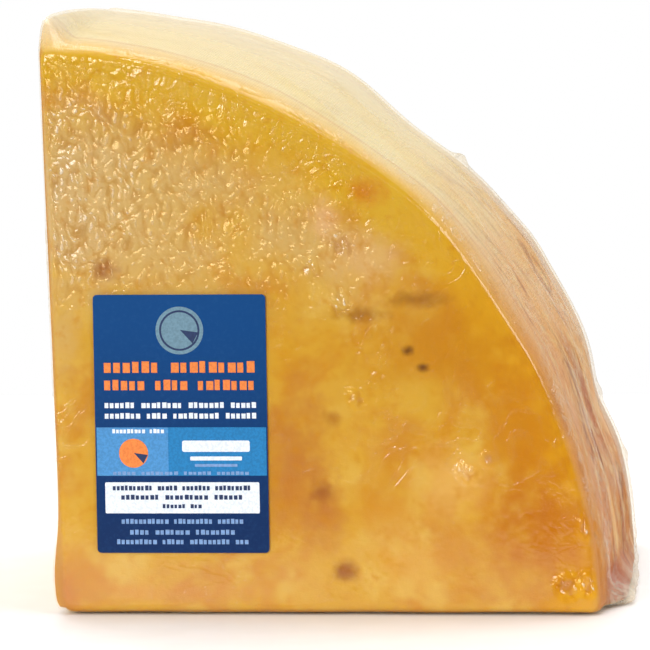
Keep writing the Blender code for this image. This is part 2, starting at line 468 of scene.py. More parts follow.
class Number:
    """A number that a material works out at each point. A sum on it adds a node to the material."""

    def __init__(self, shader: "Shader", socket: Socket) -> None:
        """Wraps a socket of the shader's tree."""
        self.shader = shader
        self.socket = socket

    def __add__(self, other: "Number | float") -> "Number":
        """The sum of two numbers."""
        return self.shader.math("ADD", self, other)

    def __sub__(self, other: "Number | float") -> "Number":
        """The difference of two numbers."""
        return self.shader.math("SUBTRACT", self, other)

    def __mul__(self, other: "Number | float") -> "Number":
        """The product of two numbers."""
        return self.shader.math("MULTIPLY", self, other)

    def __pow__(self, other: float) -> "Number":
        """The number to a power."""
        return self.shader.math("POWER", self, other)

    def __abs__(self) -> "Number":
        """How far the number is from 0."""
        return self.shader.math("ABSOLUTE", self)

    def band(self, low: float, high: float, start: float = 0.0, end: float = 1.0) -> "Number":
        """A smooth rise from start to end as the number goes from low to high."""
        inputs = {"Value": self, "From Min": low, "From Max": high, "To Min": start, "To Max": end}
        mapped = self.shader.node("MapRange", inputs, interpolation_type="SMOOTHSTEP")
        return Number(self.shader, mapped.outputs[0])


class Shader:
    """Short forms for the nodes of one material, or of the world."""

    SPOT_RIM = 1.6
    SPOT_CORE = 0.64
    SPOT_FRAY = 1.2

    def __init__(self, owner: bpy.types.Material | bpy.types.World, coordinate: str = "Object") -> None:
        """Empties the owner's node tree and adds the place that its patterns read."""
        owner.use_nodes = True
        self.owner = owner
        self.tree = owner.node_tree
        self.tree.nodes.clear()
        self.place = self.node("TexCoord").outputs[coordinate]

    def node(self, kind: str, inputs: dict | None = None, **settings: object) -> bpy.types.Node:
        """Adds a node.

        Args:
            kind: The node's type, without its prefix.
            inputs: Values, numbers or sockets for the node's inputs, by name or position.
            settings: The node's own options.

        Returns:
            The node.
        """
        node = self.tree.nodes.new("ShaderNode" + kind)
        for key, value in settings.items():
            setattr(node, key, value)
        for key, value in (inputs or {}).items():
            value = value.socket if isinstance(value, Number) else value
            if isinstance(value, Socket):
                self.tree.links.new(value, node.inputs[key])
            elif isinstance(value, tuple) and node.inputs[key].type == "RGBA":
                node.inputs[key].default_value = (*value, 1.0)
            else:
                node.inputs[key].default_value = value
        return node

    def math(self, operation: str, *values: object) -> Number:
        """The result of a sum on one or two numbers."""
        return Number(self, self.node("Math", dict(enumerate(values)), operation=operation).outputs[0])

    def vector_math(self, operation: str, *values: object) -> Socket:
        """The resulting vector of a sum on vectors."""
        return self.node("VectorMath", dict(enumerate(values)), operation=operation).outputs[0]

    def split(self, vector: Socket) -> list[Number]:
        """A vector's three parts."""
        return [Number(self, part) for part in self.node("SeparateXYZ", {0: vector}).outputs]

    def joined(self, *parts: Number) -> Socket:
        """A vector of up to three parts; those not given are 0."""
        return self.node("CombineXYZ", dict(enumerate(parts))).outputs[0]

    def noise(self, scale: float, detail: float = 2.0, roughness: float = 0.5, warp: float = 0.0,
              vector: Socket | None = None) -> Number:
        """Noise from 0 to 1.

        Args:
            scale: Swellings for each metre.
            detail: How many finer layers it has.
            roughness: How strong those are.
            warp: Distortion.
            vector: Where it is read, or None for the object's own space.

        Returns:
            The noise value.
        """
        inputs = {"Vector": vector or self.place, "Scale": scale, "Detail": detail, "Roughness": roughness,
                  "Distortion": warp}
        return Number(self, self.node("TexNoise", inputs).outputs[0])

    def threads(self, vector: Socket, scale: float, direction: str) -> Number:
        """Slightly wavering threads, 0 to 1, side by side along one direction of a vector."""
        inputs = {"Vector": vector, "Scale": scale, "Distortion": 0.4, "Detail": 1.0}
        return Number(self, self.node("TexWave", inputs, bands_direction=direction).outputs[1])

    def mix(self, factor: object, first: object, second: object) -> Socket:
        """A colour between two."""
        return self.node("Mix", {0: factor, 6: first, 7: second}, data_type="RGBA").outputs[2]

    def attribute(self, name: str) -> Number:
        """A number stored on the mesh's points."""
        return Number(self, self.node("Attribute", attribute_name=name).outputs["Fac"])

    def spot(self, centre: Colour, size: Colour, ragged: Number) -> Number:
        """A soft round patch: 1 in its middle and 0 outside.

        Args:
            centre: The patch's middle.
            size: Its half sizes along the three axes.
            ragged: A number from 0 to 1 that frays the patch's edge.

        Returns:
            The patch's strength.
        """
        offset = self.vector_math("SUBTRACT", self.place, centre)
        scaled = self.vector_math("DIVIDE", offset, size)
        away = Number(self, self.node("VectorMath", {0: scaled}, operation="LENGTH").outputs[1])
        return (ragged * self.SPOT_FRAY + away).band(self.SPOT_RIM, self.SPOT_CORE)

    def bump(self, height: Number, distance: float, strength: float = 1.0) -> Socket:
        """A normal that is roughened by a height from 0 to 1."""
        return self.node("Bump", {"Height": height, "Distance": distance, "Strength": strength}).outputs[0]

    def coated(self, colour: Socket | Colour, roughness: float, specular: float,
               more: dict | None = None) -> Socket:
        """A coloured surface under a gloss.

        Args:
            colour: Its colour.
            roughness: Its roughness.
            specular: How strongly it mirrors, 0.5 for common plastic.
            more: Values for the shader's other inputs, by name.

        Returns:
            The shader.
        """
        inputs = {"Base Color": colour, "Roughness": roughness, "Specular IOR Level": specular}
        return self.node("BsdfPrincipled", {**inputs, **(more or {})}).outputs[0]

    def finish(self, surface: Socket) -> bpy.types.Material | bpy.types.World:
        """Joins the last shader to the output and gives the owner."""
        kind = "OutputWorld" if isinstance(self.owner, bpy.types.World) else "OutputMaterial"
        self.node(kind, {"Surface": surface})
        return self.owner


class WheelShader(Shader):
    """Nodes of the cheese's material, with the places on the wheel that its colours follow."""

    def __init__(self, name: str, placing: Placing) -> None:
        """Starts the material and works out where on the wheel each point lies."""
        super().__init__(bpy.data.materials.new(name))
        from_axis = self.vector_math("SUBTRACT", self.place, (placing.axis, 0.0, 0.0))
        across, along, self.up = self.split(from_axis)
        self.behind = along - placing.front
        self.angle = self.math("ARCTAN2", self.up, across)
        self.from_rim = self.attribute("from_rim")
        self.uneven = self.noise(30.0, 3.0, 0.6)


@dataclass(frozen=True)
class Patch:
    """A stained or hazy patch of the front end face: its middle, half sizes, colour and strength."""

    across: float
    up: float
    half_across: float
    half_up: float
    colour: Colour
    strength: float


@dataclass(frozen=True)
class Streak:
    """A long mark on the curved side, that starts at the foot and climbs round the wheel: most are stains,
    one is a painted highlight and one is the film's edge shading painted on the rind.

    Attributes:
        depth: Depth at the foot, behind the front end face.
        drift: How far it moves back for each radian that it climbs.
        half_width: Half its width.
        rises: The angles between which it fades out, in radians.
        colour: Its colour.
        strength: Its strength.
    """

    depth: float
    drift: float
    half_width: float
    rises: Span
    colour: Colour
    strength: float


@dataclass(frozen=True)
class CheeseFinish:
    """Amber end rind, cloth-marked side rind and golden paste, in one material."""

    placing: Placing
    amber: Colour = srgb(206, 155, 34)
    amber_light: Colour = srgb(212, 168, 64)
    amber_deep: Colour = srgb(196, 130, 12)
    olive_band: Colour = srgb(211, 166, 38)
    orange_band: Colour = srgb(212, 154, 16)
    haze: Colour = srgb(204, 168, 104)
    paste: Colour = srgb(230, 188, 90)
    paste_deep: Colour = srgb(221, 170, 68)
    paste_knit: Colour = srgb(238, 206, 128)
    paste_edge: Colour = srgb(178, 116, 40)
    rind_gold: Colour = srgb(222, 180, 88)
    rind_pale: Colour = srgb(222, 204, 152)
    rind_tan: Colour = srgb(210, 158, 100)
    rind_brown: Colour = srgb(186, 112, 48)
    rind_mould: Colour = srgb(134, 64, 28)
    rind_foot: Colour = srgb(160, 66, 40)
    rim_low: Colour = srgb(198, 130, 50)
    cloth_edges: Span = (0.026, 0.134)
    patch_depth: float = 0.02
    streaks: tuple[Streak, ...] = (
        # Painted shading: the grey-lilac tint that the film shows along the outline near the back rim.
        Streak(0.140, 0.000, 0.026, (0.60, 1.10), srgb(214, 190, 168), 0.55),
        Streak(0.020, 0.020, 0.016, (0.40, 0.60), srgb(196, 122, 52), 0.60),
        # Painted highlight: a pale streak low on the side.
        Streak(0.056, -0.030, 0.009, (0.22, 0.34), srgb(226, 176, 116), 0.70),
        Streak(0.088, -0.050, 0.012, (0.40, 0.52), srgb(164, 82, 34), 0.85),
        Streak(0.112, -0.030, 0.007, (0.26, 0.40), srgb(228, 186, 144), 0.65),
        Streak(0.036, 0.050, 0.006, (0.34, 0.50), srgb(156, 80, 36), 0.60),
    )
    patches: tuple[Patch, ...] = (
        Patch(0.0100, 0.1260, 0.0260, 0.0440, srgb(206, 172, 114), 0.85),
        Patch(0.0040, 0.0850, 0.0100, 0.0220, srgb(204, 166, 98), 0.70),
        Patch(0.1040, 0.0290, 0.0180, 0.0120, srgb(200, 138, 40), 0.65),
        Patch(0.1180, 0.0790, 0.0360, 0.0190, srgb(192, 126, 8), 0.80),
        Patch(0.1430, 0.0560, 0.0200, 0.0340, srgb(190, 116, 8), 0.75),
        Patch(0.1223, 0.0400, 0.0170, 0.0160, srgb(220, 172, 88), 0.75),
        Patch(0.1120, 0.0660, 0.0120, 0.0100, srgb(208, 162, 50), 0.70),
        Patch(0.1500, 0.0250, 0.0260, 0.0280, srgb(182, 104, 6), 0.88),
        Patch(0.1100, 0.0160, 0.0160, 0.0120, srgb(206, 146, 40), 0.60),
        Patch(0.0980, 0.1274, 0.0080, 0.0060, srgb(200, 112, 10), 0.70),
        Patch(0.0852, 0.1200, 0.0060, 0.0090, srgb(224, 178, 132), 0.70),
        Patch(0.0970, 0.1080, 0.0170, 0.0130, srgb(212, 170, 112), 0.75),
        Patch(0.0950, 0.0905, 0.0110, 0.0036, srgb(150, 92, 24), 0.75),
        Patch(0.1124, 0.0950, 0.0120, 0.0036, srgb(150, 94, 24), 0.75),
        Patch(0.1093, 0.0798, 0.0026, 0.0022, srgb(100, 54, 8), 0.95),
        Patch(0.1139, 0.0747, 0.0028, 0.0021, srgb(100, 54, 8), 0.95),
        Patch(0.0187, 0.1049, 0.0060, 0.0042, srgb(140, 66, 34), 0.85),
        Patch(0.0755, 0.0480, 0.0140, 0.0310, srgb(182, 112, 42), 0.80),
        Patch(0.0840, 0.0300, 0.0100, 0.0170, srgb(178, 106, 38), 0.70),
        Patch(0.0830, 0.0370, 0.0052, 0.0048, srgb(146, 78, 28), 0.70),
        Patch(0.0868, 0.0596, 0.0042, 0.0034, srgb(160, 94, 24), 0.70),
        Patch(0.0896, 0.0134, 0.0064, 0.0050, srgb(144, 78, 22), 0.90),
        Patch(0.0045, 0.0066, 0.0080, 0.0090, srgb(186, 108, 30), 0.70),
        Patch(0.0400, 0.0070, 0.0420, 0.0050, srgb(206, 138, 60), 0.50),
    )

    def end_rind(self, at: WheelShader) -> Socket:
        """Colour of the wheel's two end faces: cloudy amber, patches and a clearer band along the rim.

        Args:
            at: The material's nodes.

        Returns:
            The colour.
        """
        colour = at.mix(at.noise(44.0, 4.0, 0.6, warp=0.5).band(0.36, 0.58), self.amber_deep, self.amber)
        colour = at.mix(at.noise(75.0, 3.0).band(0.50, 0.70, 0.0, 0.85), colour, self.amber_light)
        inner = at.from_rim.band(0.010, 0.034) * at.up.band(0.080, 0.112, 0.15, 1.0)
        cloudy = inner * at.noise(28.0, 3.0, 0.6).band(0.34, 0.60, 0.28, 0.88)
        colour = at.mix(cloudy, colour, self.haze)
        rim_colour = at.mix(at.angle.band(0.55, 0.90), self.orange_band, self.olive_band)
        wavering = at.noise(60.0, 2.0) * 0.014 + at.from_rim
        colour = at.mix(wavering.band(0.026, 0.015, 0.0, 0.85), colour, rim_colour)
        ragged = at.noise(150.0, 4.0, 0.65)
        for patch in self.patches:
            middle = (self.placing.axis + patch.across, self.placing.front, patch.up)
            spot = at.spot(middle, (patch.half_across, self.patch_depth, patch.half_up), ragged)
            colour = at.mix(spot * patch.strength, colour, patch.colour)
        return at.mix(at.noise(230.0, 4.0, 0.6).band(0.30, 0.48, 0.40, 0.0), colour, self.amber_deep)

    def side_rind(self, at: WheelShader) -> Socket:
        """Colour of the curved, cloth-marked side: pale above and pinkish brown towards the foot, partly the
        rind's own tone and partly painted light from above and painted shade towards the foot.

        Args:
            at: The material's nodes.

        Returns:
            The colour.
        """
        angle, behind = at.angle, at.behind
        # Height round the wheel plus uneven tone: the pale top is partly painted light from above, the brown
        # foot partly painted shade.
        tone_and_top_light = at.uneven * 0.5 + (angle - 0.25)
        colour = at.mix(tone_and_top_light.band(0.06, 0.42), self.rind_brown, self.rind_tan)
        colour = at.mix(tone_and_top_light.band(0.50, 0.98), colour, self.rind_pale)
        streaked = at.noise(1.0, 6.0, 0.66, 1.6, at.joined(angle * 4.5, behind * 60.0))
        low = angle.band(0.95, 0.35, 0.12, 1.0)
        colour = at.mix(streaked.band(0.50, 0.64, 0.0, 0.90) * low, colour, self.rind_mould)
        for streak in self.streaks:
            away = abs(behind - (angle * streak.drift + streak.depth))
            frayed = streaked * streak.half_width + away
            inside = frayed.band(1.45 * streak.half_width, 0.65 * streak.half_width, 0.0, streak.strength)
            colour = at.mix(inside * angle.band(streak.rises[1], streak.rises[0]), colour, streak.colour)
        dry = at.noise(170.0, 5.0, 0.7).band(0.46, 0.66, 0.0, 0.45)
        colour = at.mix(dry * angle.band(1.30, 0.30, 0.25, 0.80), colour, self.rind_pale)
        threads = at.noise(330.0, 3.0, 0.6).band(0.55, 0.70, 0.0, 0.40)
        colour = at.mix(threads * low, colour, self.rind_mould)
        foot = angle.band(0.090, 0.045) * behind.band(0.085, 0.040, 0.0, 0.85)
        colour = at.mix(foot, colour, self.rind_foot)
        near = at.mix(angle.band(0.40, 0.95), self.rim_low, self.rind_gold)
        colour = at.mix(behind.band(0.026, 0.004, 0.0, 0.75), colour, near)
        for depth in self.cloth_edges:
            away = abs(at.uneven * 0.012 + behind - depth)
            colour = at.mix(away.band(0.0024, 0.0004, 0.0, 0.30), colour, self.rind_brown)
        return colour

    def cut_paste(self, at: WheelShader) -> Socket:
        """Colour of the two cut faces: golden, curd-marbled paste with a darker border under the rind.

        Args:
            at: The material's nodes.

        Returns:
            The colour.
        """
        sway = at.noise(70.0, 2.0) * 0.006
        swayed = at.vector_math("ADD", at.place, at.joined(sway, sway, sway))
        broad = at.noise(26.0, 4.0, 0.6, warp=0.8)
        colour = at.mix(broad.band(0.30, 0.66), self.paste_deep, self.paste)
        curds = at.node("TexVoronoi", {"Vector": swayed, "Scale": 105.0}, feature="DISTANCE_TO_EDGE")
        between = Number(at, curds.outputs["Distance"]).band(0.07, 0.0, 0.0, 0.75)
        colour = at.mix(between * broad.band(0.40, 0.60), colour, self.paste_knit)
        colour = at.mix(at.noise(260.0, 4.0, 0.7).band(0.54, 0.70, 0.0, 0.30), colour, self.paste_knit)
        frayed = at.noise(110.0, 3.0) * 0.006 + at.attribute("from_rind")
        colour = at.mix(frayed.band(0.022, 0.006, 0.0, 0.40), colour, self.paste_deep)
        return at.mix(frayed.band(0.0085, 0.0040, 0.0, 0.85), colour, self.paste_edge)

    def material(self) -> bpy.types.Material:
        """Builds the material.

        Returns:
            The material, which reads the mesh values side, cut, from_rim and from_rind.
        """
        at = WheelShader("cheddar_and_rind", self.placing)
        side = at.attribute("side")
        colour = at.mix(side, self.end_rind(at), self.side_rind(at))
        colour = at.mix(at.attribute("cut"), colour, self.cut_paste(at))
        weave = at.threads(at.joined(at.angle), 72.0, "X") * at.threads(at.place, 420.0, "Y") * side
        height = weave * 0.5 + at.noise(420.0, 4.0, 0.65)
        return at.finish(at.coated(colour, 0.42, 0.0, {
            "Subsurface Weight": 0.12,
            "Subsurface Radius": (1.0, 0.55, 0.2),
            "Subsurface Scale": 0.004,
            "Normal": at.bump(height, 0.0003, 0.55),
        }))


@dataclass(frozen=True)
class FilmFinish:
    """Clear glossy film: pebbled in small domes where air lies under it, with white dome tops that are partly
    milky air and partly painted glints, and milky where it is slack.
    """

    name: str = "clear_vacuum_film"
    milk: Colour = srgb(244, 232, 205)
    tint: Colour = (0.99, 0.985, 0.965)
    valley_shade_tint: Colour = (0.88, 0.80, 0.64)
    warm_shine: Colour = (1.0, 0.76, 0.38)
    crease_milk: float = 0.16
    head_on: float = 0.055
    warm_head_on: float = 0.034
    grazing: float = 0.08
    gloss: float = 0.18
    pebble_gloss: float = 0.23
    milk_gloss: float = 0.30
    dome_width: float = 0.0021
    dome_length: float = 0.0031
    dome_lean: float = 0.38
    dome_height: float = 0.00040
    dome_sway: float = 4.5
    dome_reach: float = 0.66

    def domes(self, at: Shader) -> tuple[Number, Number]:
        """Height of the small leaning domes, and a number that differs from dome to dome.

        Args:
            at: The material's nodes.

        Returns:
            The height, 0 between the domes and 1 on top of each, and the number, 0 to 1.
        """
        turned = at.node("Mapping", {"Vector": at.place, "Rotation": (0.0, self.dome_lean, 0.0)}).outputs[0]
        across, deep, up = at.split(turned)
        sway = at.noise(110.0, 2.0, 0.6) * self.dome_sway
        level = (across + deep) * (1.0 / self.dome_width) + sway
        flat = at.joined(level, up * (1.0 / self.dome_length) + sway)
        cells = at.node("TexVoronoi", {"Vector": flat, "Scale": 1.0}, voronoi_dimensions="2D").outputs
        share = at.math("DIVIDE", cells["Distance"], self.dome_reach)
        each = Number(at, at.node("SeparateColor", {0: cells["Color"]}).outputs[0])
        return at.math("SUBTRACT", 1.0, share * share), each

    def creases(self, at: Shader) -> Number:
        """Height of the film's fine sharp creases, 0 to 1."""
        return abs(at.noise(75.0, 3.0, 0.55, 1.2) - 0.5).band(0.07, 0.0)

    def material(self) -> bpy.types.Material:
        """Builds the material.

        Returns:
            The material, which reads the mesh values milky, pebbled, frosted and creased.
        """
        at = Shader(bpy.data.materials.new(self.name))
        pebbled, frosted = at.attribute("pebbled"), at.attribute("frosted")
        domes, each = self.domes(at)
        uneven = pebbled * each.band(0.0, 0.8, 0.30, 1.25)
        ripple = at.noise(330.0, 2.0, 0.6) * pebbled.band(0.05, 0.40, 0.14, 0.40)
        folds = self.creases(at) * at.attribute("creased")
        normal = at.bump(domes * uneven + (folds * 1.2 + ripple), self.dome_height)
        warm = pebbled.band(0.0, 0.35) * frosted.band(0.60, 0.15)
        facing = Number(at, at.node("LayerWeight", {"Blend": 0.5, "Normal": normal}).outputs["Facing"])
        mirror = facing ** 5.0 * self.grazing + warm.band(0.0, 1.0, self.head_on, self.warm_head_on)
        gloss = at.node("BsdfGlossy", {
            "Color": at.mix(warm, WHITE, self.warm_shine),
            "Roughness": pebbled.band(0.0, 0.8, self.gloss, self.pebble_gloss),
            "Normal": normal,
        })
        # Darker, warmer between the domes: partly where the film is wetted onto the cheese, partly painted
        # shade in the hollows.
        shaded_valleys = domes.band(0.55, 0.05) * uneven
        through = at.node("BsdfTransparent", {"Color": at.mix(shaded_valleys, self.tint, self.valley_shade_tint)})
        clear = at.node("MixShader", {0: mirror, 1: through.outputs[0], 2: gloss.outputs[0]})
        milk = at.coated(self.milk, self.milk_gloss, 0.5, {"Normal": normal})
        # White dome tops: partly milky air under the film, partly painted glints.
        white_crests_and_glints = domes.band(0.84, 0.98) * (frosted * each.band(0.35, 0.95))
        milky = folds * self.crease_milk + at.attribute("milky") + white_crests_and_glints
        return at.finish(at.node("MixShader", {0: milky, 1: clear.outputs[0], 2: milk}).outputs[0])


@dataclass
class Cheese:
    """The quarter of the wheel itself, inside the film."""

    form: PackForm
    placing: Placing
    clearance: float = 0.0003
    grid: tuple[int, int] = (110, 60)
    middle: Span = (0.070, 0.072)
    ears: Ears = Ears(top=0.0070, foot=0.0056, root=0.0085)
    folded: float = 0.9
    pale_above: Span = (0.1690, 0.1720)
    lump: float = 0.0003
    lump_size: float = 0.022

    def build(self) -> bpy.types.Object:
        """Makes the cheese.

        Returns:
            The piece.
        """
        mesh, points = wrapped_quarter("cheese", self.form, self.placing, self.grid, self.middle, self.ears,
                                       self.folded)
        lumps = unevenness(points.across + points.depth, points.up, (self.lump_size, self.lump_size), 4.2)
        push_out(mesh, -self.clearance - self.lump * (0.5 + 0.5 * lumps))
        blend = 0.20 + 0.25 * ease(35.0, 55.0, points.angle)
        eared = np.maximum(ease(0.02, 0.30, points.eared), ease(*self.pale_above, points.up))
        side = points.on_rind * ease(0.0, 0.5, points.sideways - blend)
        cut = (1.0 - points.on_rind) * ease(0.30, 0.70, points.sideways) * (1.0 - eared)
        from_end = np.minimum(points.depth, self.form.height - points.depth)
        add_values(mesh, side=np.maximum(side, eared), cut=cut, from_rim=points.from_rim,
                   from_rind=np.minimum(points.from_rim, from_end))
        return add_piece("cheese_quarter", mesh, [CheeseFinish(self.placing).material()])


@dataclass
class VacuumFilm:
    """The clear bag, tight over the cheese, with blisters, folds, a rim crease, a seam and slack ears."""

    form: PackForm
    placing: Placing
    grid: tuple[int, int] = (150, 90)
    middle: Span = (0.048, 0.120)
    ears: Ears = Ears(top=0.0075, foot=0.0075, root=0.0085)
    blister_height: float = 0.00016
    blister_size: float = 0.0060
    blister_foot: Span = (0.0840, 0.1070)
    blister_reach: Span = (0.0500, 0.1350)
    swell_height: float = 0.00012
    wrinkle_height: float = 0.0004
    foot_fold_height: float = 0.0006
    gather_height: float = 0.0007
    flap_root_height: float = 0.0006
    seam_depth: float = 0.140
    seam_half_width: float = 0.0016
    seam_height: float = 0.0006
    seam_tips: tuple[Bell, ...] = ((10.3, 0.7, 0.0008), (17.7, 0.8, 0.0007), (47.6, 0.8, 0.0018))
    crease_height: float = 0.0005
    # Spots of crumpled film: their domes are stronger and their tops are whitened as painted glints.
    creased: tuple[tuple[float, float, float], ...] = (
        (0.0809, 0.1039, 0.0035),
        (0.0894, 0.0942, 0.0040),
        (0.0936, 0.0655, 0.0024),
        (0.1268, 0.0429, 0.0030),
        (0.1330, 0.0470, 0.0022),
        (0.1625, 0.0265, 0.0036),
        (0.1565, 0.0085, 0.0040),
        (0.1630, 0.0095, 0.0040),
        (0.0900, 0.1120, 0.0052),
    )

    def blister_mask(self, points: Points) -> Array:
        """Where the film stands off in blisters: 1 high on the left of the front face, little far right."""
        fray = 0.012 * unevenness(points.across, points.up, (0.014, 0.014), 21.0)
        foot = ease(*self.blister_foot, points.up + 0.06 * (points.across - 0.05) + fray)
        to_right = points.across + fray
        across = 1.0 - 0.45 * ease(0.004, 0.048, to_right) - 0.42 * ease(*self.blister_reach, to_right)
        rim = 0.20 + 0.80 * ease(0.008, 0.026, points.from_rim + fray)
        scattered = 0.14 * ease(0.0, 0.35, unevenness(points.across, points.up, (0.018, 0.018), 31.0))
        mask = np.maximum(foot * across * rim, scattered)
        for across, up, radius in self.creased:
            near = np.hypot(points.across - across, points.up - up) / radius
            mask = np.maximum(mask, 1.35 * np.exp(-(near**4)))
        broad = unevenness(points.across + points.depth, points.up, (0.03, 0.03), 41.0)
        elsewhere = 0.75 * ease(-0.05, 0.30, broad) * (1.0 - 0.7 * points.on_rind * ~points.on_end)
        elsewhere = elsewhere * (1.0 - points.eared)
        edge = np.where(points.on_end, ease(0.001, 0.004, points.from_edge), 1.0)
        return np.where(points.on_front, mask, elsewhere) * edge

    def blisters(self, points: Points) -> Array:
        """Height of the blisters, 0 to 1, as leaning cells of uneven size."""
        sway = 0.0022 * unevenness(points.across, points.up, (0.012, 0.012), 7.7)
        lean = points.across - 0.45 * points.up + sway
        size = self.blister_size
        cells = unevenness(lean, points.up, (0.62 * size, size), 1.5)
        finer = unevenness(lean, points.up, (0.34 * size, 0.5 * size), 9.1)
        return np.clip(0.5 + 1.1 * cells + 0.45 * finer, 0.0, 1.3)

    def side_wrinkles(self, points: Points) -> Array:
        """Height of the long wrinkles that run round the curved side, strongest towards the foot."""
        shifted = points.depth + 0.022 * unevenness(points.angle, points.depth, (15.0, 0.05), 2.4)
        wide = unevenness(points.angle, shifted, (13.0, 0.020), 5.5)
        narrow = unevenness(points.angle, shifted, (6.0, 0.0095), 8.8)
        crest = ridges(wide, 2.2) + 0.5 * ridges(narrow, 2.2)
        patchy = 0.35 + 0.65 * ease(-0.25, 0.35, unevenness(points.angle, points.depth, (15.0, 0.03), 12.5))
        fading = 1.0 - 0.75 * ease(0.105, 0.140, points.depth)
        side = points.on_rind * ease(0.5, 0.9, points.sideways) * fading
        low = 0.10 + 0.90 * (1.0 - ease(20.0, 58.0, points.angle))
        return side * crest * patchy * low * (1.0 - points.footed)

    def foot_folds(self, points: Points) -> Array:
        """Height, 0 to 1, of the sharp folds in the slack corner at the rind's foot."""
        return points.footed * ridges(unevenness(points.depth, points.up, (0.024, 0.040), 17.0), 3.0)

    def seam(self, points: Points) -> Array:
        """Height of the bag's side seam, with the small tips where it is pinched."""
        tips = sum(tip * bell(points.angle, at, width) for at, width, tip in self.seam_tips)
        line = bell(points.depth, self.seam_depth, self.seam_half_width)
        return points.on_rind * (self.seam_height + tips) * line

    def gathers(self, points: Points, flap: "SealFlap") -> Array:
        """Height of the folds that run up and down from the seal flap's root, and of the root itself."""
        level = points.up - flap.top
        beyond = np.maximum(flap.left - points.across, points.across - flap.left - flap.width)
        near = (1.0 - ease(0.0, 0.010, beyond)) * np.exp(-np.abs(level) / 0.022)
        fan = points.across + 0.25 * level * np.sin(points.across / 0.013)
        folds = (1.0 - np.abs(unevenness(fan, points.up, (0.0062, 0.060), 61.0)) * 2.0) ** 2
        root = (1.0 - ease(0.0, 0.004, beyond)) * bell(level, 0.0, 0.0016)
        height = self.gather_height * near * np.clip(folds, 0.0, 1.0) + self.flap_root_height * root
        return np.where(points.on_end & points.at_back, height, 0.0)

    def rim_crease(self, points: Points) -> Array:
        """Height of the fine crease along the front rim."""
        line = bell(points.from_edge, 0.0016, 0.0007) + 0.45 * bell(points.from_edge, 0.0042, 0.0006)
        along = ease(42.0, 56.0, points.angle) * (1.0 - ease(80.0, 84.0, points.angle))
        return np.where(points.on_front, points.on_rind * line * along, 0.0) * self.crease_height

    def frost(self, points: Points, mask: Array) -> Array:
        """How white the tops of the blisters are, partly as milky air and partly as painted glints: most at
        the upper left of the front face.
        """
        left = (1.0 - ease(0.002, 0.052, points.across)) * ease(0.092, 0.112, points.up)
        patchy = 0.35 + 0.65 * ease(-0.2, 0.3, unevenness(points.across, points.up, (0.011, 0.015), 51.0))
        inner = 0.3 + 0.7 * ease(0.004, 0.020, points.from_rim)
        # The last term whitens the listed crease spots as painted glints.
        white_tops_and_glints = (0.12 + 0.50 * left * patchy) * mask * inner + 0.60 * ease(1.05, 1.30, mask)
        return white_tops_and_glints * points.on_front

    def crease_strength(self, points: Points) -> Array:
        """How strong the film's fine creases are: slight on the front, stronger on the other faces."""
        broad = unevenness(points.across + points.depth, points.up - points.depth, (0.035, 0.035), 71.0)
        patchy = ease(-0.15, 0.35, broad)
        low = np.where(points.on_rind > 0.5, 1.0 - 0.6 * ease(40.0, 75.0, points.angle), 1.0)
        return np.where(points.on_front, 0.10 * patchy, (0.25 + 0.75 * patchy) * low)

    def side_milk_and_glare(self, points: Points) -> Array:
        """How milky the slack film on the curved side is, partly real haze and partly painted reflection of
        the bright room that pales the top: most at the top and towards the back rim.
        """
        # The rise with height paints the reflection that pales the top of the side.
        height = ease(25.0, 75.0, points.angle)
        back = ease(0.02, 0.14, points.depth)
        cloud = 0.5 + 0.5 * unevenness(points.angle, points.depth, (12.0, 0.03), 6.1)
        clouded = 0.08 * cloud * ease(10.0, 50.0, points.angle)
        strip = 0.26 * ease(0.100, 0.146, points.depth) * (1.0 - height)
        side = points.on_rind * ease(0.4, 0.9, points.sideways)
        return side * (0.10 * height + 0.34 * height * back + clouded + strip)

    def build(self, label_zone: Callable[[Points], Array], flap: "SealFlap") -> bpy.types.Object:
        """Makes the film.

        Args:
            label_zone: 0 behind the label, where the film is pressed flat, and 1 away from it.
            flap: The bag's sealed mouth, which gathers the film on the back.

        Returns:
            The piece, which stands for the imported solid.
        """
        mesh, points = wrapped_quarter("film", self.form, self.placing, self.grid, self.middle, self.ears)
        free = label_zone(points)
        mask = self.blister_mask(points) * free
        cells = self.blisters(points)
        slow = unevenness(points.across, points.up, (0.021, 0.026), 3.3)
        ends = np.where(points.on_end, 1.0 - points.sideways, 0.0)
        wrinkles = self.side_wrinkles(points)
        folds = self.foot_folds(points)
        gathers = self.gathers(points, flap)
        height = mask * cells * self.blister_height + self.swell_height * slow * free * ends
        height = height + self.wrinkle_height * wrinkles + self.foot_fold_height * folds + self.seam(points)
        push_out(mesh, height + self.rim_crease(points) + gathers)
        # The ears' milk is partly slack film and partly painted glare of light on the film at the upper left
        # corner.
        milk = 0.04 * mask * ease(0.30, 1.0, cells) + self.side_milk_and_glare(points) + 0.40 * points.eared
        milk = milk + 0.34 * points.footed + 0.30 * folds
        milk = milk + 0.13 * wrinkles * (1.0 - ease(25.0, 60.0, points.angle)) + 140.0 * gathers
        add_values(mesh, milky=np.clip(milk, 0.0, 0.9), pebbled=mask, frosted=self.frost(points, mask),
                   creased=self.crease_strength(points) * free)
        return add_piece("vacuum_film", mesh, [FilmFinish().material()], "sealed_pack")


